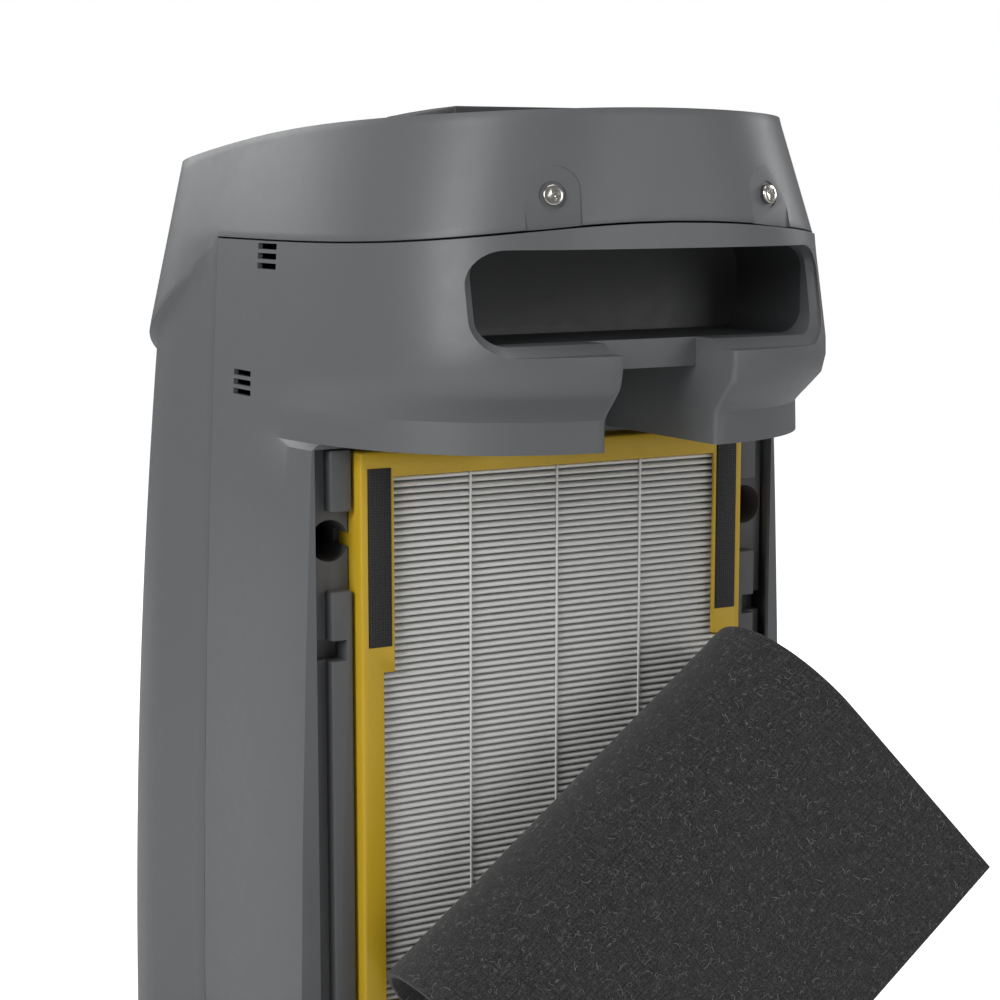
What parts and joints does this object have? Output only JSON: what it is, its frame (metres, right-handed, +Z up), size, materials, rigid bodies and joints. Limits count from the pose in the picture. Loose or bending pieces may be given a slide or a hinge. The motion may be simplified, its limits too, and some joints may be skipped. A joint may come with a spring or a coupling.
{
  "type": "air purifier",
  "caption": "Tower air purifier seen with its rear cover off: dark shells, rear hand grip, yellow-framed pleated filter cartridge and a peeled carbon felt sheet.",
  "frame": {"origin": "centre of the flat underside of the base tray, on the floor", "axes": "+Z up, front panel faces -Y, rear opening with the filter faces +Y"},
  "size_m": [0.3818, 0.4657, 0.6163],
  "materials": {
    "body_plastic": "satin",
    "inner_plastic": "satin",
    "gloss_black": "gloss",
    "filter_yellow": "satin",
    "pleat_white": "matte",
    "string_white": "matte",
    "hook_black": "matte",
    "carbon_felt": "matte",
    "foam_grey": "matte",
    "nickel": "polished",
    "steel": "brushed",
    "motor_shell": "satin",
    "board_green": "satin",
    "rubber": "matte",
    "button_grey": "satin"
  },
  "bodies": {
    "housing": {"base_tray": "inner_plastic", "blower_housing": "inner_plastic", "control_board": "board_green", "control_panel": "inner_plastic", "cover_switch": "gloss_black", "crown_screw_left": "nickel", "crown_screw_right": "nickel", "display_window": "gloss_black", "dust_sensor": "inner_plastic", "fan_motor": "motor_shell", "filter_bay": "body_plastic", "filter_gasket": "foam_grey", "foot_front_left": "rubber", "foot_front_right": "rubber", "foot_rear_left": "rubber", "foot_rear_right": "rubber", "front_shell": "body_plastic", "handle_cup": "inner_plastic", "inlet_guard": "inner_plastic", "ioniser": "inner_plastic", "motor_mount": "steel", "odour_sensor": "inner_plastic", "outlet_grille": "inner_plastic", "power_board": "board_green", "power_inlet": "gloss_black", "rear_shell": "body_plastic", "top_deck": "body_plastic"},
    "filter_cartridge": {"filter_frame": "filter_yellow", "filter_media": "pleat_white", "glue_string_1": "string_white", "glue_string_2": "string_white", "glue_string_3": "string_white", "hook_strip_left": "hook_black", "hook_strip_right": "hook_black", "carbon_sheet": "carbon_felt"},
    "fan_rotor": {"impeller": "inner_plastic", "fan_shaft": "steel"},
    "button_power_body": {"button_power": "button_grey"},
    "button_speed_body": {"button_speed": "button_grey"},
    "button_mode_body": {"button_mode": "button_grey"},
    "button_timer_body": {"button_timer": "button_grey"},
    "cover_plunger": {"switch_plunger": "button_grey"}
  },
  "joints": [
    {"name": "filter_withdraw", "type": "slide", "parent": "housing", "child": "filter_cartridge", "axis": [0, 1, 0], "range_m": [0, 0.15]},
    {"name": "fan_spin", "type": "hinge", "parent": "housing", "child": "fan_rotor", "pos_m": [0, 0.003, 0.245], "axis": [0, 1, 0], "continuous": true},
    {"name": "button_power_press", "type": "slide", "parent": "housing", "child": "button_power_body", "axis": [0, 0, -1], "range_m": [0, 0.0012], "stiffness_N_per_m": 300, "springref_m": -0.0006},
    {"name": "button_speed_press", "type": "slide", "parent": "housing", "child": "button_speed_body", "axis": [0, 0, -1], "range_m": [0, 0.0012], "stiffness_N_per_m": 300, "springref_m": -0.0006},
    {"name": "button_mode_press", "type": "slide", "parent": "housing", "child": "button_mode_body", "axis": [0, 0, -1], "range_m": [0, 0.0012], "stiffness_N_per_m": 300, "springref_m": -0.0006},
    {"name": "button_timer_press", "type": "slide", "parent": "housing", "child": "button_timer_body", "axis": [0, 0, -1], "range_m": [0, 0.0012], "stiffness_N_per_m": 300, "springref_m": -0.0006},
    {"name": "cover_plunger_press", "type": "slide", "parent": "housing", "child": "cover_plunger", "axis": [0, -1, 0], "range_m": [0, 0.004], "stiffness_N_per_m": 200, "springref_m": -0.001}
  ]
}
